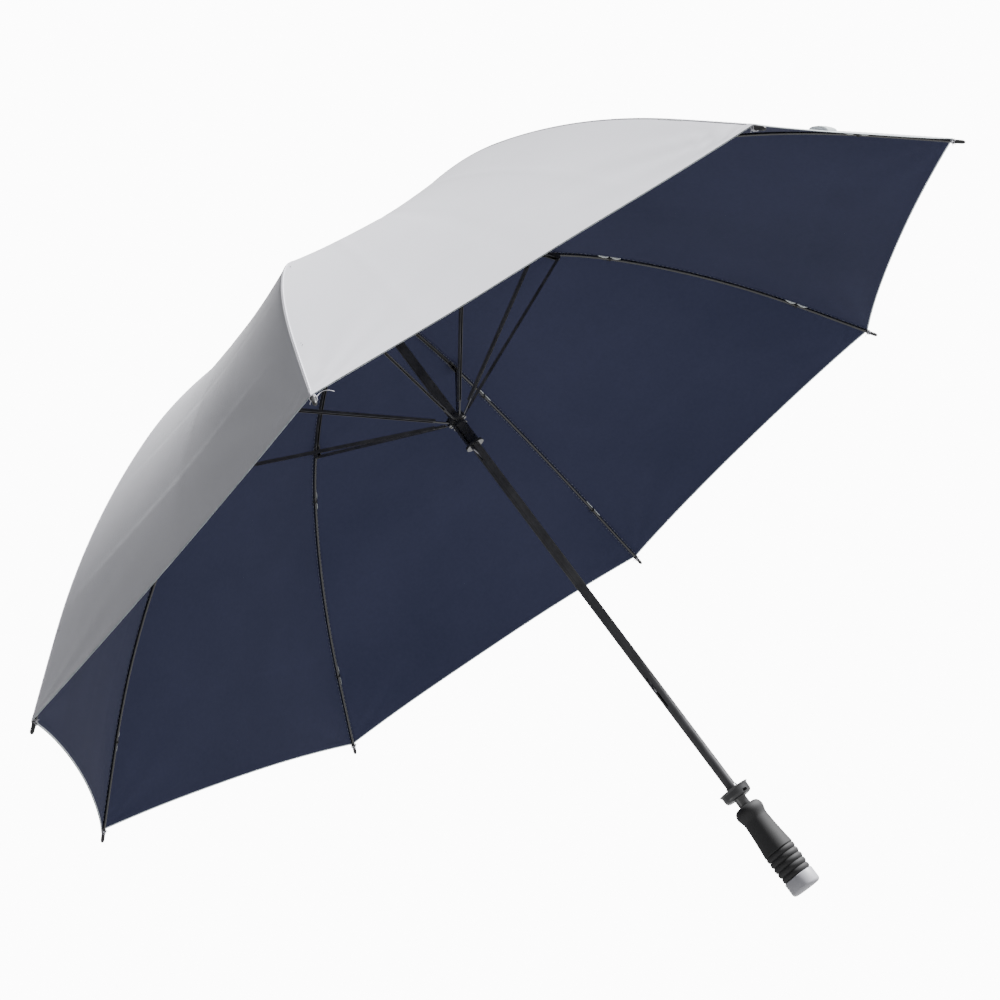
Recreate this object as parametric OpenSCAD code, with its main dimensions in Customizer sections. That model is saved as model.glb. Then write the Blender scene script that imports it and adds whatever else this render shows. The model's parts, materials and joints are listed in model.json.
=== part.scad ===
// Golf umbrella, open, standing on the end of its handle.
// The origin is the centre of the end cap's lower face, and +Z runs up the shaft to the ferrule.
// Rib 1 lies along +X, and the other ribs follow clockwise seen from above.

/* [Canopy] */
// Radius of the circle through the eight rib tips
tip_ring_r = 655; // [640:1:670]
// Height of the rib tips above the end of the handle
rim_z = 546.5; // [540:0.5:552]
// Height of the top notch's rib pivots above the rib tips
notch_rise = 333; // [330:0.5:338]
// Thickness of the canopy fabric
fabric_t = 0.3; // [0.2:0.1:0.6]
// How far the fabric sinks below the straight line between two ribs, half-way along them
panel_sag = 9; // [5:1:20]
// How far the middle of each hem is drawn in towards the shaft
hem_inset = 13.5; // [5:0.5:25]
// How far the middle of each hem is raised
hem_lift = 3.5; // [0:0.5:15]

/* [Ribs and stretchers] */
// Distance from the shaft's axis to the rib line at the stretcher brackets
bracket_r = 289.7; // [287:0.1:292]
// Height of the rib line above the rib tips at the brackets
bracket_rise = 286; // [284:0.5:288]
// Slope of the ribs at the brackets, in degrees below level
bracket_slope = 22; // [20:0.5:24]
// Width of the folded inner rib channel
channel_w = 4; // [3.8:0.1:4]
// Diameter of the outer rib rod
rod_d = 3.4; // [3:0.1:3.4]
// Width of the stretcher channel
stretcher_w = 3.4; // [3:0.1:3.4]
// Height of the runner's stretcher ring above the rib tips
runner_rise = 130.5; // [129:0.5:132]

/* [Shaft] */
// Outer diameter of the shaft tube
shaft_d = 12; // [11.8:0.1:12]
// Wall of the shaft tube
shaft_wall = 1.2; // [1:0.1:1.4]
// Length of the ferrule above the canopy
ferrule_l = 48; // [30:1:70]

/* [Runner] */
// Diameter of the runner's crown
crown_d = 24; // [24:0.1:25]
// Length of the runner, from the stretcher ring to the lower flange
runner_l = 39; // [36:1:42]

/* [Tip cup] */
// Outer diameter of the cup that holds the rib tips
cup_d = 37.5; // [36:0.5:40]
// Height of the cup
cup_h = 12; // [10:0.5:12]

/* [Handle] */
// Diameter of the end cap
cap_d = 36; // [34:0.5:38]
// Length of the end cap
cap_l = 17.5; // [15:0.5:20]
// Length of the rubber grip
grip_l = 94.5; // [90:0.5:94.5]
// Greatest diameter of the grip
grip_d = 36.5; // [35:0.5:38]
// Diameter of the grip's waist
waist_d = 29.5; // [28:0.5:31]
// Diameter of the grip's rounded shoulder
bulb_d = 34; // [32:0.5:35]
// Number of finger ridges
ridges = 5; // [3:1:6]

/* [Hidden] */
rib_count = 8;
rib_step = 360 / rib_count;
each_rib = [1 : rib_count];
$fn = 48;

shaft_r = shaft_d / 2;
slip = 0.05;                     // radial clearance of pins and of pieces on the shaft
cut = 1;                         // how far a cutting shape runs past the face it cuts
gap = 0.3;                       // clearance between pieces that must not touch

// Top notch
notch_z = rim_z + notch_rise;
notch_r = 9;                     // radius of the wire ring the ribs hang on
notch_outer_r = 11.5;
notch_half_h = 4;
ring_wire_r = 0.6;
eye_w = 2.2;                     // width of an eye on a wire ring
eye_slot_w = 2.6;
eye_hole_r = 0.75;

// Rib line: one arc from the notch to the bracket, then three flatter arcs to the tip
bracket_z = rim_z + bracket_rise;
inner_drop = atan2(notch_z - bracket_z, bracket_r - notch_r);
inner_chord = norm([bracket_r - notch_r, notch_z - bracket_z]);
inner_turn = 2 * (bracket_slope - inner_drop);
inner_bend_r = inner_chord / (2 * sin(inner_turn / 2));
inner_l = inner_bend_r * inner_turn * PI / 180;
root_slope = bracket_slope - inner_turn;
tie_share = [0.16, 0.74];        // places of the two thread ties along the outer rib, where its arcs meet
outer_cut = [0, tie_share[0], tie_share[1], 1];
bend_power = 2.3;                // the rod bends most beside the bracket, and not at all at its tip
function turned(v) = 1 - pow(1 - v, bend_power);
outer_parts = [for (k = [0 : 2]) outer_cut[k + 1] - outer_cut[k]];
outer_mids = [for (k = [0 : 2]) (turned(outer_cut[k]) + turned(outer_cut[k + 1])) / 2];
outer_drop = atan2(bracket_z - rim_z, tip_ring_r - bracket_r);
outer_turn = (outer_drop - bracket_slope) / (outer_parts * outer_mids);
outer_turns = [for (k = [0 : 2]) outer_turn * (turned(outer_cut[k + 1]) - turned(outer_cut[k]))];
outer_slopes = [for (v = outer_cut) bracket_slope + outer_turn * turned(v)];
outer_chord = norm([tip_ring_r - bracket_r, bracket_z - rim_z]);

// The point at the end of an arc that starts at p, slopes down by a degrees and turns by t more over length l
function down(a) = [cos(a), -sin(a)];
function sinc(a) = abs(a) < 0.001 ? 1 : sin(a) / (a * PI / 180);
function arc_end(p, a, l, t) = p + l * sinc(t / 2) * down(a + t / 2);
unit_1 = arc_end([0, 0], outer_slopes[0], outer_parts[0], outer_turns[0]);
unit_2 = arc_end(unit_1, outer_slopes[1], outer_parts[1], outer_turns[1]);
unit_3 = arc_end(unit_2, outer_slopes[2], outer_parts[2], outer_turns[2]);
outer_l = outer_chord / norm(unit_3);

// Each arc of the rib line: where it starts, its slope there, its length and its turn
root_p = [notch_r, notch_z];
bracket_p = [bracket_r, bracket_z];
arcs = [
    [root_p, root_slope, inner_l, inner_turn],
    [bracket_p, outer_slopes[0], outer_l * outer_parts[0], outer_turns[0]],
    [bracket_p + outer_l * unit_1, outer_slopes[1], outer_l * outer_parts[1], outer_turns[1]],
    [bracket_p + outer_l * unit_2, outer_slopes[2], outer_l * outer_parts[2], outer_turns[2]]
];
arc_s = [0, inner_l, inner_l + outer_l * outer_cut[1], inner_l + outer_l * outer_cut[2]];

// The rib line's point and slope at s, measured along the rib from its pivot in the notch
function arc_of(s) = s < arc_s[1] ? 0 : s < arc_s[2] ? 1 : s < arc_s[3] ? 2 : 3;
function along(arc, s) = arc_end(arc[0], arc[1], s, arc[3] * s / arc[2]);
function rib_point(s) = let (k = arc_of(s)) along(arcs[k], s - arc_s[k]);
function rib_slope(s) = let (k = arc_of(s)) arcs[k][1] + arcs[k][3] * (s - arc_s[k]) / arcs[k][2];
tip_slope = outer_slopes[3];

// Brackets, pins and channels
channel_h = 4.2;
sheet_t = 0.6;
pivot_drop = 5.5;                // stretcher pin below the rib line
pin_r = 1.1;
ear_t = 1;
ear_gap = channel_w / 2 + slip;
joint_eye_r = 2.4;
joint_eye_w = 3.3;
pivot_p = bracket_p + pivot_drop * [-sin(bracket_slope), -cos(bracket_slope)];
rivet_x = -11;                   // rivet that holds the bracket to the inner rib
rivet_r = 1;
rib_end_gap = 4;                 // the inner rib stops this far before the flex pin

// Runner
crown_z = rim_z + runner_rise;
crown_r = 10.3;                  // radius of the wire ring the stretchers hang on
crown_half_h = 4;
sleeve_r = 8.5;
flange_d = 23.4;
flange_h = 3;
catch_w = 1.6;
keyway_w = 2;
keyway_r = 8.9;
runner_bore_r = shaft_r + slip;
runner_low_z = crown_z - runner_l - flange_h / 2;

// Stretchers
crown_p = [crown_r, crown_z];
stretcher_l = norm(pivot_p - crown_p);
stretcher_rise = atan2(pivot_p[1] - crown_p[1], pivot_p[0] - crown_p[0]);
stretcher_h = 3.8;
tongue_l = 18;
tongue_w = 2.2;
tongue_t = 1.1;

// Closed position: the rib chords hang straight down, and the stretchers lie along the shaft
closed_pivot_r = 10;
pivot_arm = norm(pivot_p - root_p);
pivot_drop_z = sqrt(pow(pivot_arm, 2) - pow(closed_pivot_r - notch_r, 2));
closed_reach = sqrt(pow(stretcher_l, 2) - pow(closed_pivot_r - crown_r, 2));
closed_crown_z = notch_z - pivot_drop_z - closed_reach;

// Tips
tip_l = 16;
tip_r = 2.8;
tip_grip_l = 11;                 // how far the rod goes into the tip

// Shaft furniture
shaft_z0 = 5;
shaft_top_z = notch_z + 20;
cup_z = 122.5;
cup_hub_r = 7;
cup_hub_h = 16;
grip_z = cap_l;
grip_top_z = grip_z + grip_l;
catch_l = 24;
nose_r = 8.6;
catch_pivot_r = 2.4;
catch_turn = rib_step / 2;
top_catch_z = runner_low_z - 1;
bottom_catch_z = closed_crown_z - 9;

// Fabric
cloth_off = 3.6;                 // fabric above the rib line
cloth_r0 = 6.6;                  // radius of the hole at the apex
apex_lift = 3;
apex_reach = 30;
cloth_l = inner_l + outer_l - tip_l;
panel_cols = 6;
panel_rows = 20;

// ---------- helpers ----------

module at_rib(i) { rotate([0, 0, -rib_step * (i - 1)]) children(); }

// Turns a drawing in X and Y into the upright plane of a rib: X stays outward and Y becomes up
module upright() { rotate([90, 0, 0]) children(); }

// Sweeps a profile along an arc from point p, sloping down by a degrees and turning by t more
module along_arc(p, a, l, t) {
    bend_r = l / (t * PI / 180);
    centre = p - bend_r * [sin(a), cos(a)];
    translate([centre[0], 0, centre[1]]) upright() rotate([0, 0, 90 - a - t])
        rotate_extrude(angle = t, $fn = 720) translate([bend_r, 0]) children();
}

// Places children at a point of a rib's plane, with X along a slope that falls by a degrees
module in_plane(p, a) { translate([p[0], 0, p[1]]) rotate([0, a, 0]) children(); }

// A round bar across the rib's plane
module cross_bar(r, w) { rotate([90, 0, 0]) cylinder(r = r, h = w, center = true); }

module tube(r_out, r_in, z0, z1) {
    difference() {
        translate([0, 0, z0]) cylinder(r = r_out, h = z1 - z0);
        translate([0, 0, z0 - cut]) cylinder(r = r_in, h = z1 - z0 + 2 * cut);
    }
}

module wire_ring(ring_r, wire_r, z) {
    translate([0, 0, z]) rotate_extrude($fn = 96) translate([ring_r, 0]) circle(r = wire_r, $fn = 24);
}

// Eight radial slots for the eyes that hang on a wire ring
module eye_slots(r_from, r_to, z, half_h) {
    for (i = each_rib) at_rib(i)
        translate([(r_from + r_to) / 2, 0, z]) cube([r_to - r_from, eye_slot_w, 2 * half_h], center = true);
}

// ---------- shaft ----------

module shaft() {
    color("#141416") difference() {
        tube(shaft_r, shaft_r - shaft_wall, shaft_z0, shaft_top_z);
        for (z = [top_catch_z, bottom_catch_z]) catch_window(z);
        translate([0, 0, stop_z]) cross_bar(stop_r + slip, shaft_d + 2 * cut);
        for (z = [top_catch_z - catch_l, bottom_catch_z + catch_l])
            rotate([0, 0, catch_turn]) translate([catch_pivot_r, 0, z])
                cross_bar(catch_pin_r + slip, shaft_d + 2 * cut);
    }
}

module catch_window(z) {
    window_h = 2 * catch_l - 8;
    rotate([0, 0, catch_turn]) translate([0, -keyway_w / 2, z - window_h / 2])
        cube([shaft_r + cut, keyway_w, window_h]);
}

stop_r = 1.2;
stop_z = crown_z + crown_half_h + stop_r + 0.6;
module stop_pin() {
    color("#8a8c90") translate([0, 0, stop_z]) cross_bar(stop_r, shaft_d + 3.4);
}

catch_pin_r = 0.8;
module catch_pins() {
    color("#8a8c90") for (z = [top_catch_z - catch_l, bottom_catch_z + catch_l])
        rotate([0, 0, catch_turn]) translate([catch_pivot_r, 0, z]) cross_bar(catch_pin_r, shaft_d - 2.2);
}

// A leaf on a cross pin, with a nose whose square side points away from the pin
module catch_leaf() {
    color("#8a8c90") rotate([90, 0, 0]) translate([0, 0, -catch_w / 2]) linear_extrude(catch_w)
        difference() {
            union() {
                circle(r = 1.8);
                polygon([[-1.2, 0], [1.2, 0], [3.3, catch_l - 11], [nose_r - catch_pivot_r, catch_l - 4],
                    [nose_r - catch_pivot_r, catch_l], [0, catch_l], [0, catch_l - 8]]);
            }
            circle(r = catch_pin_r + slip);
        }
}

module top_catch() {
    rotate([0, 0, catch_turn]) translate([catch_pivot_r, 0, top_catch_z - catch_l]) catch_leaf();
}

module bottom_catch() {
    rotate([0, 0, catch_turn]) translate([catch_pivot_r, 0, bottom_catch_z + catch_l]) mirror([0, 0, 1])
        catch_leaf();
}

// ---------- top of the shaft ----------

module top_notch() {
    color("#1b1b1d") difference() {
        tube(notch_outer_r, shaft_r + slip, notch_z - notch_half_h, notch_z + notch_half_h);
        eye_slots(notch_r - 2.4, notch_outer_r + cut, notch_z, notch_half_h + cut);
        wire_ring(notch_r, ring_wire_r + slip, notch_z);
    }
}

module notch_ring() { color("#9a9ca0") wire_ring(notch_r, ring_wire_r, notch_z); }

cap_seat_z = notch_z + notch_half_h + 3;
module canopy_cap() {
    bore_r = shaft_r + slip;
    color("#b9babd") translate([0, 0, cap_seat_z]) rotate_extrude()
        polygon([[bore_r, 0], [15, 0], [15, 0.5], [12, 1.1], [bore_r, 1.4]]);
}

ferrule_z = cap_seat_z + 1.6;
module ferrule() {
    base_r = 9.5;
    neck_r = 8;
    end_r = 4.2;
    color("#1b1b1d") difference() {
        translate([0, 0, ferrule_z]) rotate_extrude() polygon(concat(
            [[0, 0], [base_r, 0], [base_r, 2], [neck_r, 4]],
            [for (a = [0 : 15 : 90]) [end_r * cos(a), ferrule_l - end_r + end_r * sin(a)]]));
        translate([0, 0, ferrule_z - cut]) cylinder(r = shaft_r + slip, h = shaft_top_z - ferrule_z + 2 * cut);
    }
}

// ---------- runner ----------

module runner() {
    crown_top = crown_z + crown_half_h;
    color("#161618") difference() {
        union() {
            translate([0, 0, runner_low_z]) cylinder(d = flange_d, h = flange_h);
            translate([0, 0, runner_low_z]) cylinder(r = sleeve_r, h = crown_top - runner_low_z);
            translate([0, 0, crown_z - crown_half_h]) cylinder(d = crown_d, h = 2 * crown_half_h);
            translate([0, 0, crown_z - crown_half_h - 6]) cylinder(r = sleeve_r + 0.8, h = 1.6);
        }
        translate([0, 0, runner_low_z - cut])
            cylinder(r = runner_bore_r, h = crown_top - runner_low_z + 2 * cut);
        eye_slots(sleeve_r - 0.2, crown_d / 2 + cut, crown_z, crown_half_h + cut);
        wire_ring(crown_r, ring_wire_r + slip, crown_z);
        rotate([0, 0, catch_turn]) translate([0, -keyway_w / 2, runner_low_z - cut])
            cube([keyway_r, keyway_w, crown_top - runner_low_z + 2 * cut]);
    }
}

module runner_ring() { color("#9a9ca0") wire_ring(crown_r, ring_wire_r, crown_z); }

// ---------- ribs ----------

// A folded channel, open towards the shaft side, with its closed back at +X
module channel_profile(w, h) {
    difference() {
        square([h, w], center = true);
        translate([-sheet_t - cut, 0]) square([h + 2 * cut, w - 2 * sheet_t], center = true);
    }
}

module rib_inner(i) {
    root_gap = 8;
    root_share = root_gap / inner_l;
    body_l = inner_l - root_gap - rib_end_gap;
    color("#1c1c1f") at_rib(i) difference() {
        union() {
            along_arc(rib_point(root_gap), rib_slope(root_gap), body_l, inner_turn * body_l / inner_l)
                channel_profile(channel_w, channel_h);
            in_plane(root_p, root_slope) {
                cross_bar(joint_eye_r - 0.2, eye_w);
                translate([0, -eye_w / 2, -1.4]) cube([root_gap + 3, eye_w, 2.8]);
            }
        }
        in_plane(root_p, root_slope) cross_bar(eye_hole_r, eye_w + 2 * cut);
        in_plane(bracket_p, bracket_slope) translate([rivet_x, 0, 0])
            cross_bar(rivet_r + slip, channel_w + 2 * cut);
    }
}

module bracket(i) {
    color("#1c1c1f") at_rib(i) in_plane(bracket_p, bracket_slope) {
        for (side = [-1, 1]) translate([0, side * (ear_gap + ear_t / 2), 0]) rotate([90, 0, 0])
            linear_extrude(ear_t, center = true) bracket_outline();
        cross_bar(pin_r, 2 * (ear_gap + ear_t));
        translate([0, 0, -pivot_drop]) cross_bar(pin_r, 2 * (ear_gap + ear_t));
        translate([rivet_x, 0, 0]) cross_bar(rivet_r, 2 * (ear_gap + ear_t));
    }
}

module bracket_outline() {
    corner_r = 2.1;
    ear_top = -0.6;               // low enough that the ears stay under the fabric
    for (run = [
        [[rivet_x - 3, ear_top], [0, ear_top]],
        [[0, ear_top], [0, -pivot_drop]],
        [[rivet_x - 3, ear_top], [0, -pivot_drop]]
    ])
        hull() for (p = run) translate(p) circle(r = corner_r, $fn = 24);
}

module rib_outer(i) {
    rod_start = 1.5;
    tie_l = 3;
    tie_r = rod_d / 2 + 0.25;
    color("#1c1c1f") at_rib(i) difference() {
        union() {
            in_plane(bracket_p, bracket_slope) cross_bar(joint_eye_r, joint_eye_w);
            rod_run(1, rod_start, arcs[1][2]);
            rod_run(2, 0, arcs[2][2]);
            rod_run(3, 0, arcs[3][2] - tip_l + tip_grip_l);
            for (s = [arc_s[2], arc_s[3]]) in_plane(rib_point(s), rib_slope(s)) rotate([0, 90, 0])
                cylinder(r = tie_r, h = tie_l, center = true);
        }
        in_plane(bracket_p, bracket_slope) cross_bar(pin_r + slip, joint_eye_w + 2 * cut);
    }
}

// The rod along one arc of the rib line, between two distances from that arc's start
module rod_run(k, from, to) {
    arc = arcs[k];
    turn = arc[3] * (to - from) / arc[2];
    along_arc(along(arc, from), arc[1] + arc[3] * from / arc[2], to - from, turn) circle(d = rod_d, $fn = 24);
}

module tip(i) {
    start_s = inner_l + outer_l - tip_l;
    nose_l = 4;
    color("#17171a") at_rib(i) in_plane(rib_point(start_s), tip_slope) rotate([0, 90, 0]) difference() {
        rotate_extrude() polygon(concat([[0, 0], [tip_r, 0], [tip_r, 3], [tip_r - 0.4, 4]],
            [for (a = [0 : 15 : 90]) [(tip_r - 0.4) * cos(a), tip_l - nose_l + nose_l * sin(a)]]));
        translate([0, 0, -cut]) cylinder(d = rod_d + 2 * slip, h = tip_grip_l + cut + gap);
    }
}

module stretcher(i) {
    body_l = stretcher_l - tongue_l - 4;
    hook_r = ring_wire_r + 0.15;
    color("#1c1c1f") at_rib(i) in_plane(crown_p, -stretcher_rise) difference() {
        union() {
            translate([tongue_l, 0, 0]) rotate([0, 90, 0]) linear_extrude(body_l)
                rotate([0, 0, 180]) channel_profile(stretcher_w, stretcher_h);
            translate([-hook_r - tongue_t, -tongue_w / 2, -hook_r - tongue_t])
                cube([tongue_l + hook_r + tongue_t + 3, tongue_w, tongue_t]);
            translate([-hook_r - tongue_t, -tongue_w / 2, -hook_r - tongue_t])
                cube([tongue_t, tongue_w, hook_r + tongue_t + 0.3]);
            translate([stretcher_l, 0, 0]) cross_bar(joint_eye_r, joint_eye_w);
            translate([stretcher_l - 6, -joint_eye_w / 2, -1.5]) cube([5, joint_eye_w, 3]);
        }
        translate([stretcher_l, 0, 0]) cross_bar(pin_r + slip, joint_eye_w + 2 * cut);
    }
}

// ---------- canopy ----------

function rise_at(r) = apex_lift * exp(-r / apex_reach);

// Point on the fabric's rib seam at share u of the way from the apex hole to the tip
function seam_point(u) =
    let (s = u * (cloth_l + notch_r - cloth_r0) - (notch_r - cloth_r0), a = rib_slope(max(s, 0)))
    s < 0 ? [notch_r + s, notch_z + s * sin(-root_slope) + cloth_off + rise_at(notch_r + s)]
    : rib_point(s) + (cloth_off + rise_at(rib_point(s)[0])) * [sin(a), cos(a)];

// How far the middle of a panel sinks, and how far its hem is drawn in
function sag_at(u) = panel_sag * pow(sin(180 * u), 1.2);
function hem_at(u) = pow(u, 7);

// Point of the fabric in panel p, at share w of the way across it
function cloth_point(p, w, u, lift) =
    let (
        q = seam_point(u),
        bow = 4 * w * (1 - w),
        slope = rib_slope(max(u * cloth_l, 0)),
        a = -rib_step * p,
        b = -rib_step * (p + 1),
        x = (1 - w) * cos(a) + w * cos(b),
        y = (1 - w) * sin(a) + w * sin(b),
        mid = -rib_step * (p + 0.5),
        pull = bow * (sag_at(u) * sin(slope) + hem_at(u) * hem_inset) - lift * sin(slope)
    )
    [q[0] * x - pull * cos(mid), q[0] * y - pull * sin(mid),
        q[1] - bow * (sag_at(u) * cos(slope) - hem_at(u) * hem_lift) + lift * cos(slope)];

module canopy() {
    cols = rib_count * panel_cols;
    layer = cols * (panel_rows + 1);
    points = [for (lift = [0, fabric_t]) for (j = [0 : panel_rows]) for (c = [0 : cols - 1])
        cloth_point(floor(c / panel_cols), (c % panel_cols) / panel_cols, j / panel_rows, lift)];
    function at(k, j, c) = k * layer + j * cols + c % cols;
    sheet = [for (j = [0 : panel_rows - 1]) for (c = [0 : cols - 1]) each [
        [at(0, j, c), at(0, j, c + 1), at(0, j + 1, c + 1)], [at(0, j, c), at(0, j + 1, c + 1), at(0, j + 1, c)],
        [at(1, j, c), at(1, j + 1, c + 1), at(1, j, c + 1)], [at(1, j, c), at(1, j + 1, c), at(1, j + 1, c + 1)]]];
    edges = [for (c = [0 : cols - 1]) each [
        [at(0, 0, c), at(1, 0, c), at(0, 0, c + 1)], [at(1, 0, c), at(1, 0, c + 1), at(0, 0, c + 1)],
        [at(0, panel_rows, c), at(0, panel_rows, c + 1), at(1, panel_rows, c)],
        [at(1, panel_rows, c), at(0, panel_rows, c + 1), at(1, panel_rows, c + 1)]]];
    color("#c9cacd") polyhedron(points = points, faces = concat(sheet, edges));
}

// A tape tab sewn on the hem between ribs 6 and 7, lying on the outside of the fabric
module closure_strap() {
    u = 0.985;
    w = 0.52;
    strap_l = 24;
    strap_w = 16;
    strap_t = 1;
    here = cloth_point(5, w, u, fabric_t);
    up = cloth_point(5, w, u - 0.03, fabric_t);
    tilt = atan2(up[2] - here[2], norm([here[0], here[1]]) - norm([up[0], up[1]]));
    color("#c9cacd") translate(here) rotate([0, 0, atan2(here[1], here[0])]) rotate([0, tilt, 0])
        translate([-strap_l + 4, -strap_w / 2, 1.2]) cube([strap_l, strap_w, strap_t]);
}

// ---------- handle ----------

// Outer radius of the cup at share t of its height: a rounded bottom edge, a nearly upright side and a flared lip
function cup_r(t) = cup_d / 2 - 5.4 + 3.4 * sqrt(1 - pow(1 - min(t / 0.35, 1), 2)) + 0.3 * t
    + 1.7 * pow(max(t - 0.78, 0) / 0.22, 2);

module tip_cup() {
    wall = 1.5;
    steps = 20;
    floor_t = wall / cup_h;
    color("#2a2b2e") difference() {
        union() {
            translate([0, 0, cup_z]) rotate_extrude($fn = 96) polygon(concat(
                [[cup_hub_r - 1, floor_t * cup_h], [cup_hub_r - 1, 0]],
                [for (k = [0 : steps]) [cup_r(k / steps), cup_h * k / steps]],
                [for (k = [steps : -1 : 4]) [cup_r(k / steps) - wall, cup_h * k / steps]],
                [[cup_r(4 / steps) - wall - 1.2, floor_t * cup_h]]));
            translate([0, 0, grip_top_z]) cylinder(r = cup_hub_r, h = cup_z + cup_hub_h - grip_top_z);
        }
        translate([0, 0, grip_top_z - cut]) cylinder(r = shaft_r + slip, h = 60);
        rotate([0, 0, 93]) translate([cup_d / 2 - 5, -3, cup_z + 1.8]) cube([8, 6, 3]);
    }
}

// Radius of the grip at share u of its height: a bulb at the top, a waist, and ridges below
ridge_from = 0.36;
waist_at = 0.8;
bulb_at = 0.915;
ridge_h = 1.9;
shoulder_r = 10.5;
function ease(t) = t * t * (3 - 2 * t);
function between(a, b, t) = a + (b - a) * ease(min(max(t, 0), 1));
function grip_r(u) =
    u > bulb_at ? shoulder_r + (bulb_d / 2 - shoulder_r) * sqrt(1 - pow((u - bulb_at) / (1 - bulb_at), 2))
    : u > waist_at ? between(waist_d / 2, bulb_d / 2, (u - waist_at) / (bulb_at - waist_at))
    : u > ridge_from ? waist_d / 2 + (grip_d - waist_d) / 2 * pow((waist_at - u) / (waist_at - ridge_from), 1.4)
    : between(cap_d / 2 - 0.5, grip_d / 2, 2 * u / ridge_from) - ridge_h * (1 - sqrt(abs(sin(180 * ridges * u / ridge_from))));

module grip() {
    steps = 96;
    color("#1a1a1c") difference() {
        translate([0, 0, grip_z]) rotate_extrude() polygon(concat([[0, 0]],
            [for (k = [0 : steps]) [grip_r(k / steps), grip_l * k / steps]], [[0, grip_l]]));
        translate([0, 0, grip_z - cut]) cylinder(r = shaft_r + slip, h = grip_l + 2 * cut);
    }
}

module end_cap() {
    edge_r = 4;
    color("#a9abae") difference() {
        union() {
            translate([0, 0, edge_r]) cylinder(d = cap_d, h = cap_l - edge_r);
            rotate_extrude() polygon(concat([[0, 0]],
                [for (a = [-90 : 15 : 0]) [cap_d / 2 - edge_r + edge_r * cos(a), edge_r + edge_r * sin(a)]],
                [[0, edge_r]]));
        }
        translate([0, 0, shaft_z0]) cylinder(r = shaft_r + slip, h = cap_l);
    }
}

// ---------- nodes ----------

shaft();
ferrule();
canopy_cap();
top_notch();
notch_ring();
canopy();
closure_strap();
stop_pin();
catch_pins();
top_catch();
bottom_catch();
runner();
runner_ring();
tip_cup();
grip();
end_cap();
for (i = each_rib) {
    rib_inner(i);
    bracket(i);
    rib_outer(i);
    tip(i);
    stretcher(i);
}
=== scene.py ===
"""Golf umbrella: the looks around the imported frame. All lengths are in metres, in the frame's own axes."""
import json
import math

import bpy
import numpy as np
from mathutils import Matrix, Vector


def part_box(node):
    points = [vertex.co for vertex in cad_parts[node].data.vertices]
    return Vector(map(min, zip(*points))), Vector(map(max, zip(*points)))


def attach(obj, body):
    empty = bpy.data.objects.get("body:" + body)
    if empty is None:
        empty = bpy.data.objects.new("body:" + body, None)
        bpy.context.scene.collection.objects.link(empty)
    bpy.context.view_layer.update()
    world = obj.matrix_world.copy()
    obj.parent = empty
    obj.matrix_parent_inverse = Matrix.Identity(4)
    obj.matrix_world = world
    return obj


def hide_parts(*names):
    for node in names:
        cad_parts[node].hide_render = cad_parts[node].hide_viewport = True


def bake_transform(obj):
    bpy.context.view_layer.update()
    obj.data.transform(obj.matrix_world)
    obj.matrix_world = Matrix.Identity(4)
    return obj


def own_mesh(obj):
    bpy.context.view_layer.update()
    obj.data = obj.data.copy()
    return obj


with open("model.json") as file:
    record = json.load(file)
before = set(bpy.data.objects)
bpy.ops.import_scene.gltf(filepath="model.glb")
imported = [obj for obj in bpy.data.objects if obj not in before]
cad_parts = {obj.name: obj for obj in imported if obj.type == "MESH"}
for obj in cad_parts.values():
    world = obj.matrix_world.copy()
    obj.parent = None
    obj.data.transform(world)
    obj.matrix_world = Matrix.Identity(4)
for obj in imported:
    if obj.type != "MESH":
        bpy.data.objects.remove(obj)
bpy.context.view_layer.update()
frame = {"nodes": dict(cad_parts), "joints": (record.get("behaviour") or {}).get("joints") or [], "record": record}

MM = 0.001
RIBS = 8
STEP = 2 * math.pi / RIBS
JOINTS = {j["name"]: j for j in frame["joints"]}

# ---------------------------------------------------------------- rib line, from the frame


def radial(point):
    """A point's distance from the shaft's axis, and its height."""
    return np.array([math.hypot(point[0], point[1]), point[2]])


ROOT = radial(JOINTS["rib_fold_1"]["pos_m"])
BRACKET = radial(JOINTS["rod_flex_1"]["pos_m"])
TIP_CORNER = np.array([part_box("tip_1")[1].x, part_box("tip_1")[0].z])
TIP = TIP_CORNER + np.array([-1.6, 1.3]) * MM     # the middle of the tip's round end
BRACKET_SLOPE = math.radians(22)      # the rib line's slope down at the bracket
TIE_SHARE = (0.16, 0.74)              # places of the thread ties along the outer rib
BEND_POWER = 2.3                      # the rod bends most beside the bracket
TIP_SEEN = 13 * MM                    # length of the tips beyond the fabric


def down(a):
    """Direction (r, z) that slopes down by an angle."""
    return np.array([math.cos(a), -math.sin(a)])


def arc_end(p, slope, length, turn):
    """End of an arc that starts at p, slopes down by slope and turns down by turn."""
    half = turn / 2
    chord = length * (math.sin(half) / half if abs(half) > 1e-6 else 1.0)
    return np.asarray(p) + chord * down(slope + half)


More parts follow.
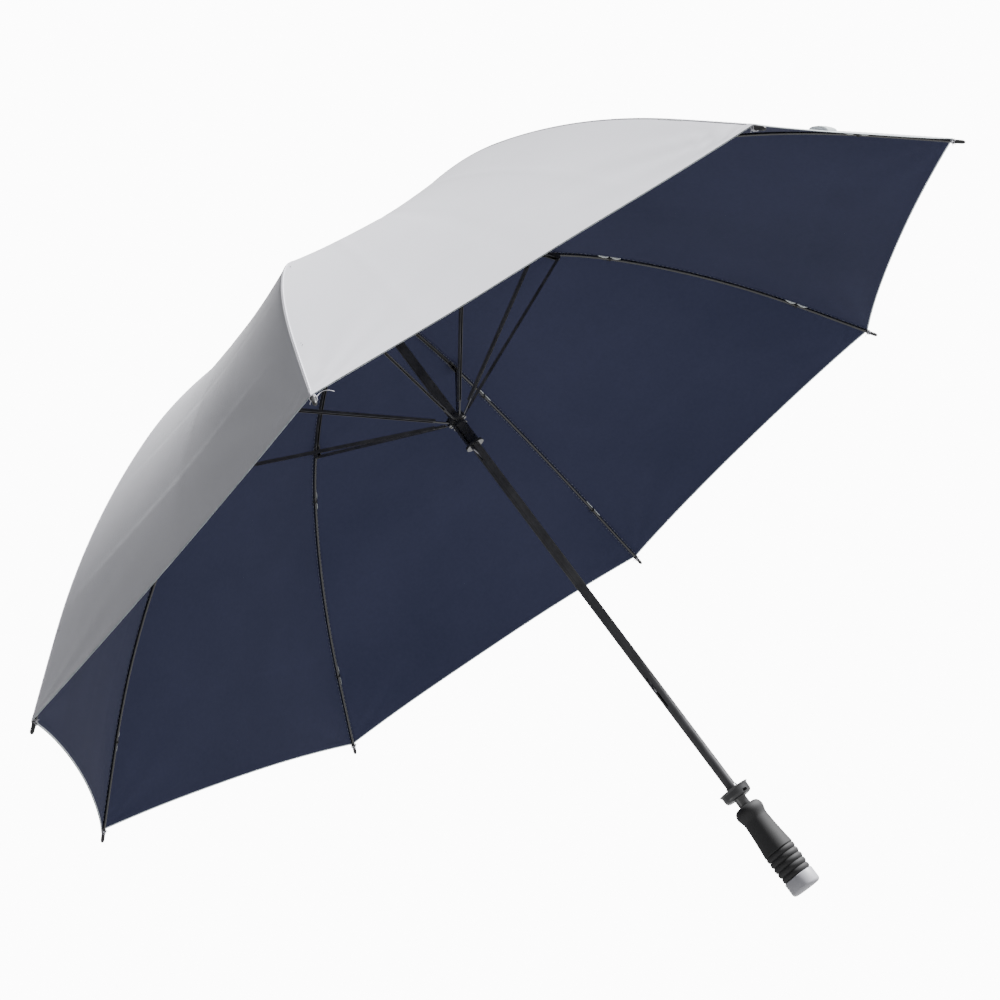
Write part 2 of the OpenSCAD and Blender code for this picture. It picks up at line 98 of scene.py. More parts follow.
def rib_arcs():
    """The rib line's arcs as (start, slope, length, turn): one inner arc and three flatter outer ones."""
    chord = BRACKET - ROOT
    drop = math.atan2(-chord[1], chord[0])
    turn = 2 * (BRACKET_SLOPE - drop)
    length = np.linalg.norm(chord) / (2 * math.sin(turn / 2)) * turn
    arcs = [(ROOT, BRACKET_SLOPE - turn, length, turn)]
    cuts = (0.0,) + TIE_SHARE + (1.0,)
    turned = [1 - (1 - v) ** BEND_POWER for v in cuts]
    parts = np.diff(cuts)
    mids = [(turned[k] + turned[k + 1]) / 2 for k in range(3)]
    chord = TIP - BRACKET
    whole = (math.atan2(-chord[1], chord[0]) - BRACKET_SLOPE) / float(np.dot(parts, mids))
    turns = [whole * (turned[k + 1] - turned[k]) for k in range(3)]
    slopes = [BRACKET_SLOPE + whole * t for t in turned[:3]]
    units = [np.zeros(2)]
    for k in range(3):
        units.append(arc_end(units[-1], slopes[k], parts[k], turns[k]))
    length = np.linalg.norm(chord) / np.linalg.norm(units[3])
    for k in range(3):
        arcs.append((BRACKET + length * units[k], slopes[k], length * parts[k], turns[k]))
    return arcs


ARCS = rib_arcs()
ARC_START = np.concatenate([[0.0], np.cumsum([a[2] for a in ARCS])])
RIB_LENGTH = ARC_START[-1]
INNER_LENGTH = ARC_START[1]
CLOTH_LENGTH = RIB_LENGTH - TIP_SEEN


def rib_line(s):
    """Points (r, z) and slopes of the rib line at distances s from the root, for an array s."""
    s = np.asarray(s, float)
    points, slopes = np.zeros(s.shape + (2,)), np.zeros(s.shape)
    for k, (p, slope, length, turn) in enumerate(ARCS):
        mask = (s >= ARC_START[k]) if k else np.ones(s.shape, bool)
        t = s - ARC_START[k]
        half = turn * t / length / 2
        chord = t * np.sinc(half / math.pi)
        here = np.stack([p[0] + chord * np.cos(slope + half), p[1] - chord * np.sin(slope + half)], -1)
        points[mask] = here[mask]
        slopes[mask] = (slope + 2 * half)[mask]
    return points, slopes


def at_rib(k, r, y, z):
    """A point given in rib k's own plane (k from 0) as outward, sideways and up, in the frame's axes."""
    a = -STEP * k
    return np.stack([r * np.cos(a) - y * np.sin(a), r * np.sin(a) + y * np.cos(a), z + 0 * r], -1)


# ---------------------------------------------------------------- fabric surface

APEX_R = 6.6 * MM                     # radius of the hole at the apex
APEX_LIFT, APEX_REACH = 3 * MM, 30 * MM
CLOTH_OFF = 3.2 * MM                  # middle of the fabric above the rib line
CORNER_OFF = 3.3 * MM                 # and at its corners, which lie on the tips
SAG = 9 * MM                          # how far a panel sinks below the line between its ribs
HEM_INSET, HEM_LIFT = 13.5 * MM, 3.5 * MM
TAB_PANEL = 5                         # the panel with the closure tab, whose hem is drawn in less
TAB_PANEL_INSET, TAB_PANEL_LIFT = 7.5 * MM, 6 * MM
HEM_POWER = 2.3                       # the hem is straighter in its middle than a parabola
CLOTH_T = 0.5 * MM
HEM_T = 1.3 * MM                      # thickness of the rolled hem
HEM_W = 7 * MM
CORNER_FROM = 0.93                    # share of the way down where the fabric nears its corner's height
CREASE, SIDE_CREASE, CROSS_CREASE = 0.9 * MM, 0.35 * MM, 0.3 * MM     # heights of the fold marks
CREASE_W, CROSS_W = 0.012, 0.006      # and their widths, as shares of the panel
CROSS_AT = (0.36, 0.62, 0.83)
CORNER_PULL, PULL_REACH = 1.5 * MM, 0.17
PANEL_ASPECT = 1.6                    # a panel's length over its width at the hem
SLACK = 0.8 * MM


def seam(u):
    """The seam's points (r, z) and slope at share u of the way from the apex hole to the corner."""
    s = u * (CLOTH_LENGTH + ROOT[0] - APEX_R) - (ROOT[0] - APEX_R)
    q, slope = rib_line(s)
    rise = APEX_LIFT * np.exp(-q[..., 0] / APEX_REACH)
    near_corner = np.clip((u - CORNER_FROM) / (1 - CORNER_FROM), 0, 1)
    off = CLOTH_OFF + (CORNER_OFF - CLOTH_OFF) * near_corner ** 2 + rise
    return q + np.stack([off * np.sin(slope), off * np.cos(slope)], -1), slope


def wrinkles(w, u, panel):
    """Small heights of the fabric above its smooth surface: fold marks, pulls at the corners and slack."""
    across = np.abs(w - 0.5)
    body = np.sin(np.pi * np.clip(u, 0, 1)) ** 0.5
    fade = np.clip(np.sin(np.pi * w), 0, 1)
    crease = -CREASE * np.exp(-across / CREASE_W) * body
    strength = 0.6 + 0.4 * math.cos(2.1 * panel)
    second = SIDE_CREASE * np.exp(-np.abs(across - 0.25) / CREASE_W) * body * strength
    cross = 0
    for k, place in enumerate(CROSS_AT):
        at = place + 0.015 * math.sin(3.1 * panel + k)
        cross = cross + (-1) ** k * CROSS_CREASE * np.exp(-np.abs(u - at) / CROSS_W)
    # folds that run from each corner into the panel
    ahead = (1 - u) * PANEL_ASPECT
    aside = np.minimum(w, 1 - w) * (0.02 + 0.98 * u)
    reach = np.hypot(ahead, aside)
    bearing = np.arctan2(aside, ahead + 1e-6)
    pull = CORNER_PULL * np.exp(-reach / PULL_REACH) * np.sin(11 * bearing + 1.3 * panel)
    pull = pull * np.clip(reach / 0.05, 0, 1)
    slack = SLACK * np.sin(9 * w + 2.3 * panel) * np.sin(7 * u + 1.7 * panel) * np.sin(np.pi * w)
    return (crease + second + cross) * fade ** 0.5 + (pull + slack) * fade ** 0.7


def cloth(panel, w, u, lift=0.0):
    """Points of a panel's fabric, at share w from its first rib to its second, and share u down."""
    w, u = np.broadcast_arrays(np.asarray(w, float), np.asarray(u, float))
    q, slope = seam(u)
    bow = 4 * w * (1 - w)
    sag = SAG * np.abs(np.sin(np.pi * np.clip(u, 0, 1))) ** 1.2
    hem = np.clip(u, 0, 1) ** 7
    inset, rise = (TAB_PANEL_INSET, TAB_PANEL_LIFT) if panel == TAB_PANEL else (HEM_INSET, HEM_LIFT)
    edge_bow = 1 - np.abs(2 * w - 1) ** HEM_POWER
    a, b, mid = -STEP * panel, -STEP * (panel + 1), -STEP * (panel + 0.5)
    lift = lift + wrinkles(w, u, panel)
    pull = bow * sag * np.sin(slope) + edge_bow * hem * inset - lift * np.sin(slope)
    x = q[..., 0] * ((1 - w) * math.cos(a) + w * math.cos(b)) - pull * math.cos(mid)
    y = q[..., 0] * ((1 - w) * math.sin(a) + w * math.sin(b)) - pull * math.sin(mid)
    z = q[..., 1] - bow * sag * np.cos(slope) + edge_bow * hem * rise + lift * np.cos(slope)
    return np.stack([x, y, z], -1)


def cloth_normal(panel, w, u):
    """Outward unit normals of the fabric, from its own slopes."""
    e = 2e-3
    w, u = np.broadcast_arrays(np.asarray(w, float), np.asarray(u, float))
    du = cloth(panel, w, np.minimum(u + e, 1)) - cloth(panel, w, np.maximum(u - e, 0))
    dw = cloth(panel, np.minimum(w + e, 1), u) - cloth(panel, np.maximum(w - e, 0), u)
    n = np.cross(du, dw)
    n *= np.sign(n[..., 2:3] + 1e-12)
    return n / np.linalg.norm(n, axis=-1, keepdims=True)


# ---------------------------------------------------------------- mesh helpers


def new_object(name, verts, faces, materials, face_mats=None, smooth=True):
    """A mesh object in the scene, with one material index per face."""
    mesh = bpy.data.meshes.new(name)
    mesh.from_pydata([tuple(v) for v in np.asarray(verts, float)], [], [tuple(f) for f in faces])
    for m in materials:
        mesh.materials.append(m)
    if face_mats is not None:
        mesh.polygons.foreach_set("material_index", np.asarray(face_mats, np.int32))
    mesh.polygons.foreach_set("use_smooth", np.full(len(mesh.polygons), smooth))
    mesh.update()
    ob = bpy.data.objects.new(name, mesh)
    bpy.context.scene.collection.objects.link(ob)
    return ob


def shell_faces(rows, cols):
    """Faces of a sheet of two layers, each rows by cols points: outer, inner, then the four edges."""
    layer = rows * cols
    outer, inner, rim = [], [], []
    for i in range(rows - 1):
        for j in range(cols - 1):
            a, b, c, d = i * cols + j, i * cols + j + 1, (i + 1) * cols + j + 1, (i + 1) * cols + j
            outer.append((a, b, c, d))
            inner.append((layer + d, layer + c, layer + b, layer + a))
    for j in range(cols - 1):
        a, b = j, j + 1
        rim.append((a, layer + a, layer + b, b))
        a, b = (rows - 1) * cols + j, (rows - 1) * cols + j + 1
        rim.append((b, layer + b, layer + a, a))
    for i in range(rows - 1):
        a, b = i * cols, (i + 1) * cols
        rim.append((b, layer + b, layer + a, a))
        a, b = a + cols - 1, b + cols - 1
        rim.append((a, layer + a, layer + b, b))
    return outer, inner, rim


def lathe(name, outline, material, segments, wobble=None):
    """A solid turned about the shaft's axis, from a closed outline of (r, z) points."""
    verts, faces = [], []
    n = len(outline)
    for k in range(segments):
        a = 2 * math.pi * k / segments
        for r, z in outline:
            rr = r if wobble is None else wobble(r, z, a)
            verts.append((rr * math.cos(a), rr * math.sin(a), z))
    for k in range(segments):
        m = (k + 1) % segments
        for i in range(n):
            j = (i + 1) % n
            faces.append((k * n + i, m * n + i, m * n + j, k * n + j))
    return new_object(name, verts, faces, [material])


def tube_path(points, radius, sides=8):
    """Vertices and faces of a closed tube along a path of points."""
    points = np.asarray(points, float)
    tangents = np.gradient(points, axis=0)
    tangents /= np.linalg.norm(tangents, axis=1, keepdims=True) + 1e-12
    up = np.array([0, 0, 1.0]) if abs(tangents[0][2]) < 0.9 else np.array([1.0, 0, 0])
    verts = []
    side = np.cross(tangents[0], up)
    side /= np.linalg.norm(side)
    for p, t in zip(points, tangents):
        side = side - t * (side @ t)
        side /= np.linalg.norm(side)
        other = np.cross(t, side)
        for k in range(sides):
            a = 2 * math.pi * k / sides
            verts.append(p + radius * (math.cos(a) * side + math.sin(a) * other))
    faces = []
    for i in range(len(points) - 1):
        for k in range(sides):
            m = (k + 1) % sides
            faces.append((i * sides + k, i * sides + m, (i + 1) * sides + m, (i + 1) * sides + k))
    last = (len(points) - 1) * sides
    faces.append(tuple(reversed(range(sides))))
    faces.append(tuple(range(last, last + sides)))
    return verts, faces


class Heap:
    """Collects small shapes into one mesh."""

    def __init__(self):
        self.verts, self.faces, self.mats = [], [], []

    def add(self, verts, faces, mat=0):
        base = len(self.verts)
        self.verts += [tuple(v) for v in verts]
        self.faces += [tuple(base + i for i in f) for f in faces]
        self.mats += [mat] * len(faces)

    def build(self, name, materials):
        return new_object(name, self.verts, self.faces, materials, self.mats)


# ---------------------------------------------------------------- materials


class Nodes:
    """Short calls for building a node tree."""

    def __init__(self, name):
        self.mat = bpy.data.materials.new(name)
        self.mat.use_nodes = True
        self.tree = self.mat.node_tree
        self.bsdf = self.tree.nodes["Principled BSDF"]

    def add(self, kind, **inputs):
        node = self.tree.nodes.new(kind)
        for key, value in inputs.items():
            if key in node.inputs:
                self.put(node, key, value)
            else:
                setattr(node, key, value)
        return node

    def put(self, node, key, value):
        if isinstance(value, bpy.types.NodeSocket):
            self.tree.links.new(value, node.inputs[key])
        else:
            node.inputs[key].default_value = value

    def maths(self, operation, a, b=0.0):
        node = self.tree.nodes.new("ShaderNodeMath")
        node.operation = operation
        for k, value in enumerate((a, b)):
            self.put(node, k, value)
        return node.outputs[0]

    def noise(self, vector, scale, detail=4.0, rough=0.6):
        node = self.add("ShaderNodeTexNoise", Scale=scale, Detail=detail, Roughness=rough)
        self.tree.links.new(vector, node.inputs["Vector"])
        return node.outputs["Fac"]

    def mix(self, fac, a, b):
        node = self.tree.nodes.new("ShaderNodeMix")
        node.data_type = "RGBA"
        for key, value in ((0, fac), (6, a), (7, b)):
            self.put(node, key, value)
        return node.outputs[2]

    def spread(self, value, low, high):
        node = self.add("ShaderNodeMapRange")
        self.put(node, "Value", value)
        self.put(node, "To Min", low)
        self.put(node, "To Max", high)
        return node.outputs["Result"]

    def position(self):
        return self.tree.nodes.new("ShaderNodeTexCoord").outputs["Object"]

    def bump(self, height, distance, strength):
        node = self.add("ShaderNodeBump", Strength=strength, Distance=distance)
        self.put(node, "Height", height)
        return node.outputs["Normal"]

    def surface(self, **inputs):
        for key, value in inputs.items():
            self.put(self.bsdf, key.replace("_", " "), value)
        return self.mat


WEAVE_PITCH = 0.7 * MM


def rgba(r, g, b):
    """A colour socket's value."""
    return (r, g, b, 1.0)


def weave_height(n, uv, pitch):
    """Plain weave: threads along both directions that pass over and under each other."""
    xy = n.add("ShaderNodeSeparateXYZ")
    n.tree.links.new(uv, xy.inputs[0])
    k = math.pi / pitch
    sx = n.maths("SINE", n.maths("MULTIPLY", xy.outputs[0], k))
    sy = n.maths("SINE", n.maths("MULTIPLY", xy.outputs[1], k))
    return n.maths("ABSOLUTE", n.maths("MULTIPLY", sx, sy))


def fabric(name, dark, light, rough, sheen, metallic=0.0, shine=0.5):
    """Coated woven polyester, with soft blotches and a fine weave."""
    n = Nodes(name)
    place = n.position()
    uv = n.add("ShaderNodeUVMap", uv_map="cloth").outputs["UV"]
    cloud = n.noise(place, 5.0, 3.0, 0.55)
    fine = n.noise(place, 220.0, 2.0, 0.5)
    tone = n.maths("ADD", n.spread(cloud, 0.15, 0.85), n.spread(fine, -0.12, 0.12))
    colour = n.mix(tone, rgba(*dark), rgba(*light))
    weave = weave_height(n, uv, WEAVE_PITCH)
    height = n.maths("ADD", n.maths("MULTIPLY", weave, 0.6), n.maths("MULTIPLY", fine, 0.4))
    normal = n.bump(height, 0.00012, 0.35)
    gloss = n.spread(cloud, rough - 0.05, rough + 0.06)
    return n.surface(Base_Color=colour, Roughness=gloss, Metallic=metallic, Sheen_Weight=sheen,
                     Sheen_Roughness=0.4, Specular_IOR_Level=shine, Normal=normal)


def coated(name, dark, light, rough, grain, depth, metallic=0.0, coat=0.0, edge_wear_and_highlight=None):
    """Paint, plastic or rubber: mottled colour, uneven shine, a fine grain, and paler sharp edges, partly edge
    wear and partly a painted edge highlight.
    """
    n = Nodes(name)
    place = n.position()
    cloud = n.noise(place, 38.0, 4.0)
    fine = n.noise(place, grain, 3.0)
    tone = n.maths("ADD", n.spread(cloud, 0.0, 0.8), n.spread(fine, 0.0, 0.2))
    colour = n.mix(tone, rgba(*dark), rgba(*light))
    if edge_wear_and_highlight:
        # Sharp convex edges turn paler: partly edge wear, partly a painted highlight along the edges.
        point = n.add("ShaderNodeNewGeometry").outputs["Pointiness"]
        edge_wear_highlight_mask = n.maths("MULTIPLY", n.maths("SUBTRACT", point, 0.53), 9.0)
        edge_wear_highlight_mask = n.maths("MULTIPLY", n.maths("MINIMUM", n.maths("MAXIMUM", edge_wear_highlight_mask, 0.0), 0.7), cloud)
        colour = n.mix(edge_wear_highlight_mask, colour, rgba(*edge_wear_and_highlight))
    normal = n.bump(n.maths("ADD", fine, n.maths("MULTIPLY", cloud, 0.5)), depth, 0.5)
    gloss = n.spread(cloud, rough - 0.07, rough + 0.1)
    return n.surface(Base_Color=colour, Roughness=gloss, Metallic=metallic, Coat_Weight=coat,
                     Coat_Roughness=0.25, Normal=normal)


def brushed(name, colour, rough):
    """Bare drawn steel: fine lines along the height, and an uneven tint."""
    n = Nodes(name)
    place = n.position()
    stretch = n.add("ShaderNodeMapping", Scale=(1.0, 1.0, 0.04))
    n.tree.links.new(place, stretch.inputs["Vector"])
    lines = n.noise(stretch.outputs["Vector"], 900.0, 2.0)
    cloud = n.noise(place, 60.0, 3.0)
    tint = n.mix(cloud, rgba(*[c * 0.75 for c in colour]), rgba(*colour))
    return n.surface(Base_Color=tint, Metallic=1.0, Roughness=n.spread(lines, rough - 0.08, rough + 0.12),
                     Normal=n.bump(lines, 0.00005, 0.4))


def thread_material(name, colour):
    """Twisted sewing thread."""
    n = Nodes(name)
    place = n.position()
    twist = n.add("ShaderNodeTexWave", Scale=900.0, Distortion=1.5)
    n.tree.links.new(place, twist.inputs["Vector"])
    tint = n.mix(twist.outputs["Fac"], rgba(*[c * 0.7 for c in colour]), rgba(*colour))
    return n.surface(Base_Color=tint, Roughness=0.8, Normal=n.bump(twist.outputs["Fac"], 0.0001, 0.5))


def grey(v):
    """A grey that is a little cold."""
    return (v, v, v * 1.08)


M = {
    "silver": fabric("silver_fabric", grey(0.74), grey(0.80), rough=0.55, sheen=0.1, metallic=0.15),
    "navy": fabric("navy_fabric", (0.021, 0.025, 0.054), (0.048, 0.053, 0.103), rough=0.66, sheen=0.04,
                   shine=0.08),
    "hem": fabric("hem_edge", (0.62, 0.70, 0.74), (0.74, 0.80, 0.83), rough=0.6, sheen=0.2),
    "tab": fabric("grey_tab", (0.36, 0.41, 0.42), (0.46, 0.50, 0.51), rough=0.7, sheen=0.2),
    "tape": fabric("pale_tape", (0.68, 0.74, 0.73), (0.82, 0.86, 0.85), rough=0.7, sheen=0.2),
    # The paler edge colours below are partly edge wear, partly painted edge highlights.
    "tube": coated("black_tube", grey(0.008), grey(0.015), rough=0.46, grain=420, depth=0.04 * MM,
                   metallic=0.1, edge_wear_and_highlight=grey(0.12)),
    "steel": coated("black_steel", grey(0.012), grey(0.028), rough=0.38, grain=500, depth=0.03 * MM,
                    metallic=0.4, coat=0.15, edge_wear_and_highlight=grey(0.16)),
    "rod": coated("black_rod", grey(0.010), grey(0.022), rough=0.26, grain=700, depth=0.02 * MM, coat=0.6),
    "plastic": coated("black_plastic", grey(0.014), grey(0.024), rough=0.45, grain=900, depth=0.04 * MM,
                      coat=0.1, edge_wear_and_highlight=grey(0.07)),
    "gloss": coated("gloss_black_plastic", grey(0.011), grey(0.020), rough=0.24, grain=500, depth=0.02 * MM,
                    coat=0.5, edge_wear_and_highlight=grey(0.10)),
    "cup": coated("dark_grey_plastic", grey(0.020), grey(0.031), rough=0.30, grain=600, depth=0.03 * MM,
                  coat=0.3, edge_wear_and_highlight=grey(0.11)),
    "rubber": coated("grip_rubber", grey(0.010), grey(0.019), rough=0.72, grain=1500, depth=0.12 * MM,
                     edge_wear_and_highlight=grey(0.035)),
    "grey": coated("grey_plastic", grey(0.36), grey(0.43), rough=0.42, grain=700, depth=0.05 * MM,
                   coat=0.1, edge_wear_and_highlight=grey(0.66)),
    "bare": brushed("bare_steel", grey(0.20), rough=0.38),
    "thread": thread_material("white_thread", grey(0.75)),
    "black_thread": thread_material("black_thread", grey(0.03)),
    "silver_thread": thread_material("silver_thread", grey(0.42)),
    "navy_thread": thread_material("navy_thread", (0.34, 0.36, 0.42)),
}

SLOT_MATERIAL = {
    "canopy_fabric": "silver", "black_tube": "tube", "black_steel": "steel", "black_rod": "rod",
    "black_plastic": "plastic", "gloss_black_plastic": "gloss", "dark_grey_plastic": "cup",
    "grip_rubber": "rubber", "grey_plastic": "grey", "bare_steel": "bare",
}


def dress_cad_nodes():
    """Gives every carried-over CAD node its detailed material, by the record's slots."""
    slots = {p["node"]: p["material_slot"] for p in frame["record"]["subparts"]}
    for name, ob in frame["nodes"].items():
        material = M[SLOT_MATERIAL[slots[name]]]
        for k in range(max(1, len(ob.material_slots))):
            if ob.material_slots:
                ob.material_slots[k].material = material
            else:
                ob.data.materials.append(material)


# ---------------------------------------------------------------- canopy pieces

HALF_COLS = 20
INNER_ROWS, OUTER_ROWS = 34, 46
U_BRACKET = (INNER_LENGTH + ROOT[0] - APEX_R) / (CLOTH_LENGTH + ROOT[0] - APEX_R)
HEM_SHARE = HEM_W / CLOTH_LENGTH
HEM_ROLL = 0.15                       # share of the hem's width over which it thickens
HEM_ROWS = (1 + HEM_ROLL, 1.0, 0.6, 0.25, 0.1, 0.0)


def hem_thickness(u):
    """Thickness of the fabric at share u, which grows at the hem's inner edge."""
    thicker = (u - (1 - (1 + HEM_ROLL) * HEM_SHARE)) / (HEM_ROLL * HEM_SHARE)
    return CLOTH_T + (HEM_T - CLOTH_T) * np.clip(thicker, 0, 1)


def half_panel(rib, side, part):
    """Half of a panel, beside one rib: part is inner (notch to bracket) or outer (bracket to hem)."""
    panel = rib if side > 0 else (rib - 1) % RIBS
    w = np.linspace(0, 0.5, HALF_COLS) if side > 0 else np.linspace(1, 0.5, HALF_COLS)
    if part == "inner":
        u = np.linspace(0, U_BRACKET, INNER_ROWS)
    else:
        hem_rows = 1 - HEM_SHARE * np.array(HEM_ROWS)
        u = np.concatenate([np.linspace(U_BRACKET, 1 - 1.6 * HEM_SHARE, OUTER_ROWS), hem_rows])
    uu, ww = np.meshgrid(u, w, indexing="ij")
    mid = cloth(panel, ww, uu)
    normal = cloth_normal(panel, ww, uu)
    t = hem_thickness(uu)[..., None]
    outer, inner = mid + normal * t / 2, mid - normal * t / 2
    rows, cols = uu.shape
    o, i, rim = shell_faces(rows, cols)
    if side < 0:
        o, i, rim = [[tuple(reversed(f)) for f in group] for group in (o, i, rim)]
    verts = np.concatenate([outer.reshape(-1, 3), inner.reshape(-1, 3)])
    mats = [0] * len(o) + [1] * len(i) + [2] * len(rim)
    name = f"canopy_{part}_{rib + 1}_{'a' if side > 0 else 'b'}"
    ob = new_object(name, verts, o + i + rim, [M["silver"], M["navy"], M["hem"]], mats)
    if part == "outer":
        for k in range(len(i)):
            if k // (cols - 1) >= rows - 3:
                ob.data.polygons[len(o) + k].material_index = 2
    normals = np.concatenate([normal.reshape(-1, 3), -normal.reshape(-1, 3)])
    ob.data.normals_split_custom_set_from_vertices([tuple(v) for v in normals])
    layer = ob.data.uv_layers.new(name="cloth")
    width = np.concatenate([(ww * uu).ravel(), (ww * uu).ravel()]) * 0.5
    along = np.concatenate([uu.ravel(), uu.ravel()]) * CLOTH_LENGTH
    loops = np.zeros(len(ob.data.loops), np.int32)
    ob.data.loops.foreach_get("vertex_index", loops)
    layer.data.foreach_set("uv", np.stack([width[loops], along[loops]], -1).astype(np.float32).ravel())
    fold(ob, rib, side, part)
    return ob


def fold(ob, rib, side, part):
    """The piece rides on its rib or rod, with a mesh of its own."""
    a, b = (ROOT, BRACKET) if part == "inner" else (BRACKET, TIP)
    chord = (b - a) / np.linalg.norm(b - a)
    out = np.array([-chord[1], chord[0]])
    us = np.linspace(0.1, U_BRACKET, 9) if part == "inner" else np.linspace(U_BRACKET, 1, 9)
    panel = rib if side > 0 else (rib - 1) % RIBS
    offset = np.mean(cloth(panel, 0.5, us) - cloth(panel, 0.0 if side > 0 else 1.0, us), axis=0)
    along = at_rib(rib, chord[0], 0.0, chord[1])
    offset -= along * (offset @ along)
    s = ARC_START[1] / 2 if part == "inner" else (ARC_START[1] + RIB_LENGTH) / 2
    bow = float((rib_line(np.array([s]))[0][0] - a) @ out)
    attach(ob, f"{'rib' if part == 'inner' else 'rod'}_{rib + 1}")
    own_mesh(ob)


SEAM_HALF = 1.8 * MM                  # half the width of the fold along a seam
ALLOWANCE = 4.6 * MM                  # width of the seam allowance inside
SEAM_T, ALLOWANCE_T = 0.22 * MM, 0.35 * MM
SUNK = 0.05 * MM                      # the seam's layers start this far from the fabric's middle
SEAM_ENDS = (0.012, 0.9975)           # shares of the way down where a seam starts and ends
STITCH_R = 0.16 * MM
BEND_REACH = 14 * MM                  # a length along the rib on each side of the bracket


def seam_strip(heap, panel, rising, u, width, low, high, mat):
    """A flat strip beside a seam, on one panel, between two heights from the fabric's middle."""
    q, _ = seam(u)
    share = np.clip(width / (2 * q[:, 0] * math.sin(STEP / 2)), 0, 0.4)
    cols = [share * c if rising else 1 - share * c for c in (0.0, 0.5, 1.0)]
    top = np.stack([cloth(panel, w, u, high) for w in cols], 1)
    under = np.stack([cloth(panel, w, u, low) for w in cols], 1)
    shapes = shell_faces(len(u), len(cols))
    faces = [tuple(f) if rising else tuple(reversed(f)) for part in shapes for f in part]
    heap.add(np.concatenate([top.reshape(-1, 3), under.reshape(-1, 3)]), faces, mat)
    return share


def seam_band(rib):
    """The sewn seam along a rib: a flat fold outside, the allowances inside, and their stitches."""
    u = np.linspace(*SEAM_ENDS, 120)
    heap = Heap()
    face = CLOTH_T / 2 + SEAM_T
    back = -CLOTH_T / 2 - ALLOWANCE_T
    for panel, rising in ((rib, True), ((rib - 1) % RIBS, False)):
        share = seam_strip(heap, panel, rising, u, SEAM_HALF, SUNK, face, 0)
        stitch_row(heap, panel, rising, u, 0.68 * share, face, 1)
        share = seam_strip(heap, panel, rising, u, ALLOWANCE, back, -SUNK, 2)
        stitch_row(heap, panel, rising, u, 0.8 * share, back, 3)
    ob = heap.build(f"seam_{rib + 1}", [M["silver"], M["silver_thread"], M["navy"], M["navy_thread"]])
    ob.data.uv_layers.new(name="cloth")
    tuple(at_rib(rib, *plane_point(-BEND_REACH)))
    tuple(at_rib(rib, *plane_point(BEND_REACH)))
    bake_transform(ob)


def plane_point(ds):
    """(outward, sideways, up) of the rib line at distance ds past the bracket."""
    p = rib_line(np.array([INNER_LENGTH + ds]))[0][0]
    return p[0], 0.0, p[1]


def stitch_row(heap, panel, rising, u, share, lift, mat):
    """Short thread dashes along a seam, at a share of the panel's width from it."""
    w = share if rising else 1 - share
    ahead = u + (u[1] - u[0]) * 0.55
    start = cloth(panel, w, u, lift)
    stop = cloth(panel, w, ahead, lift)
    for p, q in zip(start[1:-1], stop[1:-1]):
        verts, faces = tube_path([p, (p + q) / 2 + (q - p) * 0.01, q], STITCH_R, 5)
        heap.add(verts, faces, mat)


def rib_frame(rib, s):
    """A point on the rib line with the directions along, sideways and up, in the frame's axes."""
    q, slope = rib_line(np.array([s]))
    c, d = math.cos(slope[0]), math.sin(slope[0])
    origin = at_rib(rib, q[0][0], 0.0, q[0][1])
    return origin, at_rib(rib, c, 0.0, -d), at_rib(rib, 0.0, 1.0, 0.0), at_rib(rib, d, 0.0, c)


def thread_loop(heap, frame_at, radii, lean, lift, thickness, mat, turns=1.0):
    """A loop of thread round a rib, leaning along it."""
    origin, along, side, up = frame_at
    angle = np.linspace(0, 2 * math.pi * turns, int(22 * turns))
    points = [origin + side * radii[0] * math.cos(a) + up * (lift + radii[1] * math.sin(a))
              + along * (lean * math.cos(a + 0.6) + 0.5 * MM * a / math.pi) for a in angle]
    verts, faces = tube_path(points, thickness, 7)
    heap.add(verts, faces, mat)


TIE_L, TIE_H, TIE_T = 34 * MM, 3.4 * MM, 0.3 * MM
TIE_EDGE, TIE_GAP, TIE_BULGE = 0.5 * MM, 0.35 * MM, 0.6 * MM
ROD_R = 1.7 * MM
UNDER_CLOTH = 2.9 * MM                # just under the fabric, above the rib line
KNOT_R, KNOT_THREAD, KNOT_END = 2.35 * MM, 0.32 * MM, 0.22 * MM
KNOT_TURNS = (-0.9, -0.3, 0.3, 0.9)   # places of the knot's turns along the rod, in mm
TIP_THREAD_R, TIP_THREAD, TIP_THREAD_END = 3.2 * MM, 0.3 * MM, 0.32 * MM
LONG_END, SHORT_END, OTHER_END = 19 * MM, 5 * MM, 4.5 * MM            # cut ends of the tip threads


def tie(heap, rib, share):
    """The seam's allowance opens beside a rod, pale side out, and a dark thread ties it to the rod."""
    middle = INNER_LENGTH + share * (RIB_LENGTH - INNER_LENGTH)
    rows, cols = 33, 4
    front, back = [], []
    for k in range(rows):
        t = 2 * k / (rows - 1) - 1
        origin, along, side, up = rib_frame(rib, middle + t * TIE_L / 2)
        open_ = math.sin(math.pi * abs(t)) ** 0.7 if 0 < abs(t) < 1 else 0.0
        depth = TIE_EDGE + TIE_H * open_
        for j in np.linspace(1, 0, cols):
            out = ROD_R + TIE_GAP + TIE_BULGE * open_ * math.sin(math.pi * j)
            base = origin - side * out + up * (UNDER_CLOTH - depth * j)
            front.append(base - side * TIE_T)
            back.append(base)
    faces = [f for part in shell_faces(rows, cols) for f in part]
    heap.add(front + back, faces, 0)
    for shift in KNOT_TURNS:
        place = rib_frame(rib, middle + shift * MM)
        thread_loop(heap, place, (KNOT_R, KNOT_R), 0.3 * MM, 0.1 * MM, KNOT_THREAD, 1)
    origin, along, side, up = rib_frame(rib, middle)
    for angle, length in ((0.5, 7 * MM), (-0.2, 5 * MM), (-0.9, 6 * MM)):
        t = np.linspace(0, 1, 8)[:, None]
        away = side * math.cos(angle) + along * math.sin(angle)
        curve = origin + away * (KNOT_R - 0.05 * MM + length * t) + up * (1.6 * MM * t ** 2)
        verts, faces = tube_path(curve, KNOT_END, 5)
        heap.add(verts, faces, 1)


